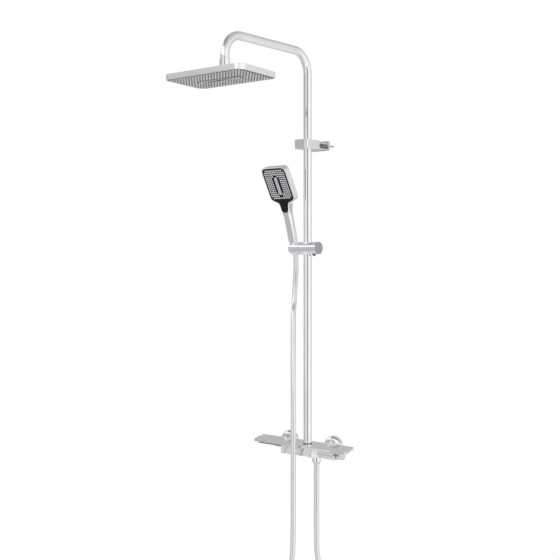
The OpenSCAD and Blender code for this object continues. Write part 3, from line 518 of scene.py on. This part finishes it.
spots_group, spots_in, spots_out = new_group(
    "water_spots", {"Scale": 90.0, "Amount": 0.5}, {"Mask": "NodeSocketFloat"}
)
cells = spots_group.nodes.new("ShaderNodeTexVoronoi")
cells.feature = "SMOOTH_F1"
link(spots_group, spots_in.outputs["Vector"], cells.inputs["Vector"])
link(spots_group, spots_in.outputs["Scale"], cells.inputs["Scale"])
spot_rings = ramp_node(
    spots_group, cells.outputs["Distance"], [(0.0, 0.35), (0.22, 0.25), (0.30, 1.0), (0.36, 0.0)]
)
clouds = noise_node(spots_group, spots_in.outputs["Vector"], 14.0)
patches = ramp_node(spots_group, clouds, [(0.46, 0.0), (0.62, 1.0)])
spotted = math_node(spots_group, "MULTIPLY", spot_rings, patches)
mask = math_node(spots_group, "MULTIPLY", spotted, spots_in.outputs["Amount"], clamp=True)
link(spots_group, mask, spots_out.inputs["Mask"])


def bump_group(name, scale, depth, detail, stretch):
    """A group whose output is a normal roughened by stretched noise."""
    group, inside, outside = new_group(
        name, {"Scale": scale, "Depth": depth}, {"Normal": "NodeSocketVector"}
    )
    mapping = group.nodes.new("ShaderNodeMapping")
    mapping.inputs["Scale"].default_value = stretch
    link(group, inside.outputs["Vector"], mapping.inputs["Vector"])
    bump = group.nodes.new("ShaderNodeBump")
    bump.inputs["Distance"].default_value = 0.001
    link(group, inside.outputs["Depth"], bump.inputs["Strength"])
    relief = noise_node(group, mapping.outputs[0], inside.outputs["Scale"], detail)
    link(group, relief, bump.inputs["Height"])
    link(group, bump.outputs["Normal"], outside.inputs["Normal"])
    return group


waves_group = bump_group("plating_waves", 22.0, 0.02, 1.0, (1, 1, 0.35))
grain_group = bump_group("moulded_grain", 900.0, 0.06, 4.0, (1, 1, 1))
print("groups:", spots_group.name, waves_group.name, grain_group.name)

# %% [markdown]
# ## Finishes
# A finish is one Principled shader. Its colour drifts a little over the surface, its gloss is
# broken by the spots, and its normal by waves or grain. The numbers that are the same all over a
# surface sit on the shader's own sockets.

# %% Finish helper


def finish_material(name, dark, light, rough, effect, effect_scale, effect_depth, drift=9.0,
                    spots=0.5, spot_rough=0.18, **shader_values):
    """A material whose colour drifts from dark to light; rough is the least and most dull."""
    material = bpy.data.materials.new(name)
    material.use_nodes = True
    tree = material.node_tree
    shader = tree.nodes["Principled BSDF"]
    where = tree.nodes.new("ShaderNodeTexCoord").outputs["Object"]
    colour = ramp_node(tree, noise_node(tree, where, drift, 2.0), [(0.3, dark), (0.7, light)])
    link(tree, colour, shader.inputs["Base Color"])
    marks = tree.nodes.new("ShaderNodeGroup")
    marks.node_tree = spots_group
    link(tree, where, marks.inputs["Vector"])
    marks.inputs["Amount"].default_value = spots
    fine = noise_node(tree, where, 31.0, 4.0)
    gloss = ramp_node(tree, fine, [(0.35, rough[0]), (0.75, rough[1])])
    dull = math_node(tree, "MULTIPLY", marks.outputs["Mask"], spot_rough)
    link(tree, math_node(tree, "ADD", gloss, dull, clamp=True), shader.inputs["Roughness"])
    relief = tree.nodes.new("ShaderNodeGroup")
    relief.node_tree = effect
    link(tree, where, relief.inputs["Vector"])
    relief.inputs["Scale"].default_value = effect_scale
    relief.inputs["Depth"].default_value = effect_depth
    link(tree, relief.outputs["Normal"], shader.inputs["Normal"])
    for socket, value in shader_values.items():
        shader.inputs[socket.replace("_", " ")].default_value = value
    return material


print("helper: finish_material")

# %% [markdown]
# Each slot of the record gets one finish. The chrome is nearly white and very smooth. The shelf and
# the push buttons are duller, so they read as brushed and plated surfaces. The end cap of the slider
# gets a darker, lavender copy of the chrome as painted reflection, and the brass shows only at the
# wall threads and inside.

# %% The finishes
FINISHES = {
    "chrome": finish_material(
        "polished_chrome", (0.88, 0.88, 0.905), (0.96, 0.96, 0.98), (0.045, 0.10),
        waves_group, 22.0, 0.03, Metallic=1.0),
    # cap_metal: a darker, lavender copy of the chrome, painted reflection for the slider's end cap.
    "cap_metal": finish_material(
        "painted_reflection_cap", (0.40, 0.40, 0.45), (0.47, 0.47, 0.52), (0.14, 0.22),
        waves_group, 20.0, 0.04, Metallic=1.0),
    "shelf_metal": finish_material(
        "shelf_plating", (0.80, 0.80, 0.81), (0.87, 0.87, 0.88), (0.12, 0.20),
        waves_group, 18.0, 0.05, Metallic=1.0),
    "button_plastic": finish_material(
        "plated_buttons", (0.90, 0.90, 0.915), (0.96, 0.96, 0.975), (0.32, 0.42),
        grain_group, 700.0, 0.04, Metallic=0.85),
    "grey_plastic": finish_material(
        "grey_moulding", (0.115, 0.117, 0.125), (0.16, 0.162, 0.17), (0.38, 0.52),
        grain_group, 900.0, 0.12, spots=0.3),
    "white_plastic": finish_material(
        "white_moulding", (0.72, 0.72, 0.70), (0.82, 0.82, 0.80), (0.34, 0.46),
        grain_group, 900.0, 0.10, spots=0.2),
    "black_plastic": finish_material(
        "piano_black", (0.006, 0.006, 0.007), (0.014, 0.014, 0.016), (0.05, 0.12),
        waves_group, 30.0, 0.02, Specular_IOR_Level=0.12),
    "nozzle_rubber": finish_material(
        "silicone", (0.72, 0.72, 0.735), (0.84, 0.84, 0.855), (0.46, 0.60),
        grain_group, 1200.0, 0.10, drift=60.0, spots=0.4),
    "seal_rubber": finish_material(
        "seal_rubber", (0.020, 0.020, 0.020), (0.045, 0.045, 0.045), (0.60, 0.75),
        grain_group, 1100.0, 0.20, spots=0.2),
    "brass": finish_material(
        "turned_brass", (0.58, 0.43, 0.19), (0.74, 0.58, 0.30), (0.22, 0.34),
        waves_group, 400.0, 0.10, Metallic=1.0),
    "steel": finish_material(
        "drawn_steel", (0.46, 0.46, 0.48), (0.60, 0.60, 0.62), (0.24, 0.36),
        grain_group, 600.0, 0.10, Metallic=1.0),
}
print("finishes:", ", ".join(FINISHES))

# %% [markdown]
# The hose is plastic drawn over a metallic film. It shines softly, and a fine winding shows as
# faint rings when the light grazes it. The winding follows the length that the sweep put in the
# UV map, so it keeps its pitch round every bend.

# %% Hose finish
WINDING_PITCH = 0.0032
hose_finish = finish_material(
    "silver_hose", (0.80, 0.80, 0.82), (0.88, 0.88, 0.90), (0.14, 0.20),
    grain_group, 500.0, 0.03, Metallic=0.85, Coat_Weight=0.5, Coat_Roughness=0.1)
hose_tree = hose_finish.node_tree
hose_uv = hose_tree.nodes.new("ShaderNodeSeparateXYZ")
link(hose_tree, hose_tree.nodes.new("ShaderNodeTexCoord").outputs["UV"], hose_uv.inputs[0])
windings = math_node(hose_tree, "DIVIDE", hose_uv.outputs["Y"], WINDING_PITCH)
turn = math_node(hose_tree, "ADD", windings, hose_uv.outputs["X"])
winding = math_node(hose_tree, "SINE", math_node(hose_tree, "MULTIPLY", turn, 2 * math.pi))
winding_bump = hose_tree.nodes.new("ShaderNodeBump")
winding_bump.inputs["Distance"].default_value = 0.0002
winding_bump.inputs["Strength"].default_value = 0.18
link(hose_tree, winding, winding_bump.inputs["Height"])
link(hose_tree, winding_bump.outputs["Normal"], hose_tree.nodes["Principled BSDF"].inputs["Normal"])
FINISHES["hose_skin"] = hose_finish
print("hose winding", WINDING_PITCH * 1000, "mm")

# %% [markdown]
# The floor gets a dull pale finish without spots, so it shows soft shadows and nothing else.

# %% Floor finish
floor.data.materials.append(finish_material(
    "pale_floor", (0.78, 0.78, 0.78), (0.82, 0.82, 0.82), (0.5, 0.6),
    grain_group, 60.0, 0.02, spots=0.0))
print("floor finish:", floor.data.materials[0].name)

# %% [markdown]
# The record names a finish for every node. Dressing all nodes from that one table means that no
# node can be forgotten.

# %% Dress every node and piece
NODE_SLOT = {part["node"]: part["material_slot"] for part in frame["record"]["subparts"]}


def dress(piece, slot):
    """Gives a piece the one finish of its slot."""
    piece.data.materials.clear()
    piece.data.materials.append(FINISHES[slot])


for node_name, node in frame["nodes"].items():
    dress(node, NODE_SLOT[node_name])
dress(hose, "hose_skin")
print(len(NODE_SLOT), "nodes dressed")

# %% [markdown]
# ## Soft edges
# A real plated part has no knife edges, and the small round is what catches a line of light. The
# CAD solid is sharp, so a copy is welded, its flat faces are joined, and a bevel rounds only the
# sharp edges. The copy then stands for the CAD node and rides on the same body.

# %% Bevelled copies


def soften(node_name, width, segments=3, angle=28):
    """A copy of a CAD node with its sharp edges rounded."""
    source = frame["nodes"][node_name]
    bm = bmesh.new()
    bm.from_mesh(source.data)
    bmesh.ops.remove_doubles(bm, verts=bm.verts, dist=1e-6)
    bmesh.ops.dissolve_limit(bm, angle_limit=math.radians(0.5), verts=bm.verts, edges=bm.edges)
    piece = new_piece(node_name + "_soft", bm, angle)
    bevel = piece.modifiers.new("round_edges", "BEVEL")
    bevel.width = width
    bevel.segments = segments
    bevel.limit_method = "ANGLE"
    bevel.angle_limit = math.radians(angle)
    bevel.harden_normals = True
    bevel.miter_outer = "MITER_ARC"
    dress(piece, NODE_SLOT[node_name])
    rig.ride(piece, source["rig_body"])
    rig.replaces(piece, node_name)
    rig.slot(piece, NODE_SLOT[node_name])
    return piece


SOFT_EDGES = {
    "left_rosette": 0.6, "right_rosette": 0.6, "left_union_nut": 0.6, "right_union_nut": 0.6,
    "left_end_cap": 1.5, "shelf_plate": 1.8, "shelf_rail": 0.8, "front_fascia": 0.5,
    "left_button": 0.5, "middle_button": 0.5, "right_button": 0.5, "thermostat_knob": 1.0,
    "knob_cap": 0.4, "riser_collar": 0.5, "bracket_clamp": 1.2, "bracket_neck": 0.8,
    "bracket_wall_plate": 0.8, "head_nut": 0.8, "head_housing": 1.0, "slider_body": 0.8,
    "slider_end_cap": 0.8, "cradle": 0.6, "handset_shell": 1.2, "hose_cone_nut": 0.5,
    "hose_valve_nut": 0.6, "handset_connector": 0.3, "bracket_screws": 0.3,
}
SOFT = {name: soften(name, width * MM) for name, width in SOFT_EDGES.items()}
# The slider's end cap takes the darker cap_metal chrome as painted reflection.
dress(SOFT["slider_end_cap"], "cap_metal")
print(len(SOFT), "nodes have soft edges")

# %% [markdown]
# The hose is told to the frame as a cord: where it leaves the cradle, how long and how thick it is,
# and that its far end is screwed to the object. Its lower nut belongs to the cord as well.

# %% State the cord
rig.cord(
    hose, exit=NUT_EXIT, length=HOSE_LENGTH, diameter=HOSE_D, far_end="object",
    stiffness="medium", lay="hanging", path=HOSE_ROUTE,
    with_pieces=[SOFT["hose_valve_nut"]],
)

# %% [markdown]
# ## Shapes from rings of points
# Many small pieces are stacks of rings: a ring of points is drawn, the next ring lies a little
# higher and narrower, and quads join the two. These helpers draw rings and rounded outlines, stack
# them, and seat a finished piece on the part of the object it moves with.

# %% Ring helper


def add_rings(bm, frame_matrix, rings, capped=True):
    """Joins rings of points with quads, and closes the last ring."""
    verts = [[bm.verts.new(frame_matrix @ Vector(q)) for q in ring] for ring in rings]
    for a, b in zip(verts, verts[1:]):
        for k in range(len(a)):
            n = (k + 1) % len(a)
            bm.faces.new((a[k], a[n], b[n], b[k]))
    if capped:
        bm.faces.new(verts[-1])
    return verts


def round_ring(x, y, z, radius, sides):
    return [
        (x + radius * math.cos(a), y + radius * math.sin(a), z)
        for a in (2 * math.pi * s / sides for s in range(sides))
    ]


def corner_outline(points, steps=6):
    """Corners (x, y, radius) in millimetres become a rounded outline in metres."""
    outline = []
    count = len(points)
    for k, (x, y, r) in enumerate(points):
        here = Vector((x, y))
        back = (Vector(points[k - 1][:2]) - here).normalized()
        ahead = (Vector(points[(k + 1) % count][:2]) - here).normalized()
        half = back.angle(ahead) / 2
        middle = here + (back + ahead).normalized() * (r / math.sin(half))
        start = here + back * (r / math.tan(half)) - middle
        turn = math.pi - 2 * half
        if start.x * ahead.y - start.y * ahead.x < 0:
            turn = -turn
        for s in range(steps + 1):
            g = turn * s / steps
            outline.append(Vector((
                middle.x + start.x * math.cos(g) - start.y * math.sin(g),
                middle.y + start.x * math.sin(g) + start.y * math.cos(g),
            )) * MM)
    return outline


def slab(bm, frame_matrix, outline, levels):
    """A closed slab through levels (z, inset) of an outline, insets drawn towards its middle."""
    middle = sum(outline, Vector((0, 0))) / len(outline)
    rings = []
    for z, inset in levels:
        ring = []
        for q in outline:
            away = q - middle
            ring.append((*(q - away.normalized() * inset), z))
        rings.append(ring)
    verts = add_rings(bm, frame_matrix, rings)
    bm.faces.new(list(reversed(verts[0])))


def seat(piece, body, nodes, slot):
    """Puts a finished piece on its body, in place of the nodes it is finer than."""
    dress(piece, slot)
    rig.ride(piece, body)
    for node_name in nodes:
        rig.replaces(piece, node_name)
    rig.slot(piece, slot)


def round_rect_points(width, height, radius):
    w, h = width / 2, height / 2
    return [(w, h, radius), (-w, h, radius), (-w, -h, radius), (w, -h, radius)]


print("helpers: add_rings, round_ring, corner_outline, slab, seat, round_rect_points")

# %% [markdown]
# ## The rain head's face
# The face of a rain head is a thin panel full of soft silicone nozzles. Each nozzle is a short
# cone with a small hole in its tip, so limescale can be rubbed off. One nozzle is described by a
# few rings of points, and the same rings are repeated at every place of a grid.

# %% Face panel and nozzles of the rain head
HEAD_GRID = (25, 12)
HEAD_PITCH = (
    (HEAD_SIZE[0] - 0.030) / (HEAD_GRID[0] - 1),
    (HEAD_SIZE[1] - 0.026) / (HEAD_GRID[1] - 1),
)
FALL_CLEAR = (0.072, 0.008)
NOZZLE_RINGS = (
    (0.0008, 2.6), (-0.0003, 2.3), (-0.0015, 1.7), (-0.0018, 1.3), (-0.0018, 0.6), (-0.0004, 0.5),
)

panel_mesh = bmesh.new()
slab(panel_mesh, HEAD_FRAME, corner_outline(round_rect_points(243.8, 129.8, 16)),
     [(0.0034, 0.0), (0.0008, 0.0), (0.0004, 0.0004)])
bmesh.ops.recalc_face_normals(panel_mesh, faces=panel_mesh.faces)
panel = new_piece("head_panel", panel_mesh)
seat(panel, "rain_head", ["head_face"], NODE_SLOT["head_face"])

nozzle_mesh = bmesh.new()
nozzle_count = 0
for i in range(HEAD_GRID[0]):
    for j in range(HEAD_GRID[1]):
        x = (i - (HEAD_GRID[0] - 1) / 2) * HEAD_PITCH[0]
        y = (j - (HEAD_GRID[1] - 1) / 2) * HEAD_PITCH[1]
        if abs(x) < FALL_CLEAR[0] and abs(y) < FALL_CLEAR[1]:
            continue
        add_rings(nozzle_mesh, HEAD_FRAME, [
            round_ring(x, y, z, r * MM, 10)
            for z, r in NOZZLE_RINGS
        ])
        nozzle_count += 1
bmesh.ops.recalc_face_normals(nozzle_mesh, faces=nozzle_mesh.faces)
head_nozzles = new_piece("head_nozzles_fine", nozzle_mesh, 50)
seat(head_nozzles, "rain_head", ["head_nozzles"], NODE_SLOT["head_nozzles"])
print(nozzle_count, "nozzles in the rain head")

# %% [markdown]
# Between the nozzles lies one long outlet for the waterfall sheet of water: a raised bright rim
# round a narrow slot. Its rings run over the rim and down again into the slot.

# %% Waterfall outlet


def lifted(outline, z):
    return [(q.x, q.y, z) for q in outline]


rim = corner_outline(round_rect_points(128, 13, 5))
rim_top = corner_outline(round_rect_points(127, 12, 4.5))
slot = corner_outline(round_rect_points(119, 3.4, 1.6))
outlet_mesh = bmesh.new()
add_rings(outlet_mesh, HEAD_FRAME, [
    lifted(rim, 0.0008), lifted(rim, -0.0020), lifted(rim_top, -0.0025), lifted(slot, -0.0025),
    lifted(slot, 0.0006),
])
bmesh.ops.recalc_face_normals(outlet_mesh, faces=outlet_mesh.faces)
outlet = new_piece("waterfall_rim", outlet_mesh)
seat(outlet, "rain_head", ["waterfall_outlet"], NODE_SLOT["waterfall_outlet"])
print("waterfall rim 128 mm long")

# %% [markdown]
# ## The handset's face
# The handset has a glossy black face that runs down into the handle as a tongue. Small square
# pads carry its jets, and a bright bar with pointed ends lies in a bare diamond in the middle.

# %% Face, pads, bar and button of the handset
FACE_OUTLINE = [
    (37.9, 97.9, 13), (-37.9, 97.9, 13), (-37.9, 6.1, 12), (-14.45, -2.9, 6), (-10.45, -28.9, 9.9),
    (10.45, -28.9, 9.9), (14.45, -2.9, 6), (37.9, 6.1, 12),
]
PADS = (12, 15)
PAD_PITCH = 5.7
PAD_MIDDLE = 51.5
BARE_MIDDLE = 47.0
BARE_HALF = (14.5, 31.0)
BUTTON_RINGS = (
    (-0.0015, 7.0), (0.0014, 7.0), (0.0019, 6.7), (0.0021, 6.2), (0.0018, 4.5), (0.0017, 2.5),
)

face_mesh = bmesh.new()
slab(face_mesh, FACE_FRAME, corner_outline(FACE_OUTLINE),
     [(-0.0022, 0.0), (-0.0004, 0.0), (0.0, 0.0006)])
bmesh.ops.recalc_face_normals(face_mesh, faces=face_mesh.faces)
hand_face = new_piece("handset_face_fine", face_mesh)
seat(hand_face, "handset", ["handset_face"], NODE_SLOT["handset_face"])

pad_mesh = bmesh.new()
pad_count = 0
for i in range(PADS[0]):
    for j in range(PADS[1]):
        x = (i - (PADS[0] - 1) / 2) * PAD_PITCH
        y = (j - (PADS[1] - 1) / 2) * PAD_PITCH
        from_bar = abs(PAD_MIDDLE + y - BARE_MIDDLE)
        bare = from_bar < BARE_HALF[1] and abs(x) < BARE_HALF[0] - 0.25 * from_bar
        corner = abs(x) > 30 and abs(y) > 38
        if bare or corner:
            continue
        rings = []
        for z, half in ((-0.0004, 1.9), (0.0006, 1.8), (0.0010, 1.4)):
            pad = corner_outline(round_rect_points(2 * half, 2 * half, half * 0.45), steps=1)
            rings.append([(q.x + x * MM, q.y + (PAD_MIDDLE + y) * MM, z) for q in pad])
        add_rings(pad_mesh, FACE_FRAME, rings)
        pad_count += 1
bmesh.ops.recalc_face_normals(pad_mesh, faces=pad_mesh.faces)
pads = new_piece("handset_pads", pad_mesh)
seat(pads, "handset", ["handset_nozzles"], NODE_SLOT["handset_nozzles"])

bar_mesh = bmesh.new()
BAR = [(5.2, 69, 0.8), (0, 74, 0.8), (-5.2, 69, 0.8), (-5.2, 25, 0.8), (0, 20, 0.8), (5.2, 25, 0.8)]
slab(bar_mesh, FACE_FRAME, corner_outline(BAR, steps=3),
     [(-0.0010, 0.0), (0.0006, 0.0), (0.0011, 0.0008)])
bmesh.ops.recalc_face_normals(bar_mesh, faces=bar_mesh.faces)
jet_bar = new_piece("jet_bar_fine", bar_mesh)
seat(jet_bar, "handset", ["jet_bar"], NODE_SLOT["jet_bar"])

button_mesh = bmesh.new()
add_rings(button_mesh, FACE_FRAME, [
    round_ring(0, -0.016, z, r * MM, 40)
    for z, r in BUTTON_RINGS
])
bmesh.ops.recalc_face_normals(button_mesh, faces=button_mesh.faces)
hand_button = new_piece("handset_button_fine", button_mesh)
seat(hand_button, "handset_key", ["handset_button"], NODE_SLOT["handset_button"])
print(pad_count, "pads on the handset")

# %% [markdown]
# ## Painted shade in the joints
# The gaps between the push buttons and in front of the knob are deep and lie in shade, so they look
# nearly black. Thin slanted black fins and a flat black ring are put in them as painted shade; each
# ends just under the surface, so the joint keeps its depth.

# %% Painted shade in the joints
SLANT = 0.48
BUTTON_Z = -3.0
FIN_FRONT = -0.0929
FIN_BACK = -0.0862
# The fins and the ring are painted shade: black pieces that stand in for the shade deep in the gaps.
gap_shade_mesh = bmesh.new()
for x, width in ((-19.6, 0.55), (8.0, 1.15), (36.0, 1.15), (63.6, 0.55)):
    rings = []
    for y in (FIN_BACK, FIN_FRONT):
        rings.append([
            ((x + SLANT * (z - BUTTON_Z) + side * width / 2) * MM, y, z * MM)
            for side, z in ((-1, -13.0), (1, -13.0), (1, 7.0), (-1, 7.0))
        ])
    fin = add_rings(gap_shade_mesh, Matrix.Identity(4), rings)
    gap_shade_mesh.faces.new(list(reversed(fin[0])))
KNOB_AXIS = (-0.060, -0.004)
RING_X = 0.1301
RING_INNER, RING_OUTER = 0.0052, 0.0111
rings = []
for r, dx in ((RING_INNER, 0.0), (RING_OUTER, 0.0), (RING_OUTER, 0.0008), (RING_INNER, 0.0008)):
    rings.append([
        (RING_X + dx, KNOB_AXIS[0] + r * math.cos(a), KNOB_AXIS[1] + r * math.sin(a))
        for a in (2 * math.pi * s / 48 for s in range(48))
    ])
add_rings(gap_shade_mesh, Matrix.Identity(4), rings + rings[:1], capped=False)
bmesh.ops.remove_doubles(gap_shade_mesh, verts=gap_shade_mesh.verts, dist=1e-7)
bmesh.ops.recalc_face_normals(gap_shade_mesh, faces=gap_shade_mesh.faces)
gap_shade_pieces = new_piece("painted_gap_shade", gap_shade_mesh)
seat(gap_shade_pieces, "column", [], "black_plastic")
print("five painted gap shades")

# %% [markdown]
# ## Springs
# A coil spring is a circle swept along a screw line. The three springs behind the shelf's buttons
# are short waves of wire, and the one behind the lock button is a small coil.

# %% Springs


def helix(middle, along, radius, length, turns, steps=20):
    """Points of a screw line that starts at middle and runs along a direction."""
    along = Vector(along).normalized()
    side = along.orthogonal().normalized()
    up = along.cross(side)
    points = []
    for k in range(int(turns * steps) + 1):
        a = 2 * math.pi * k / steps
        points.append(Vector(middle) + along * (length * k / (turns * steps))
                      + (side * math.cos(a) + up * math.sin(a)) * radius)
    return points


spring_mesh = bmesh.new()
for x in (-0.006, 0.022, 0.050):
    sweep(spring_mesh, helix((x, -0.0765, -0.003), (0, -1, 0), 0.0053, 0.0019, 2.5), 0.0004, 8)
springs = new_piece("button_coils", spring_mesh, 60)
seat(springs, "column", ["button_springs"], NODE_SLOT["button_springs"])

lock_mesh = bmesh.new()
sweep(lock_mesh, helix((0.052, -0.060, 0.5332), (0, 0, 1), 0.0040, 0.0028, 3), 0.0004, 8)
lock_coil = new_piece("lock_coil", lock_mesh, 60)
seat(lock_coil, "slider", ["lock_spring"], NODE_SLOT["lock_spring"])
print("four springs")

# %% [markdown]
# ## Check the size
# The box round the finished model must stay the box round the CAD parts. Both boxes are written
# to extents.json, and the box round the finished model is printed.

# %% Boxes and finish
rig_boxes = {"cad": [list(v) for v in cad_box], "visual": [list(v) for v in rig.bounds()]}
json.dump(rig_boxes, open("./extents.json", "w"))
print("visual box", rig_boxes["visual"])

# %% [markdown]
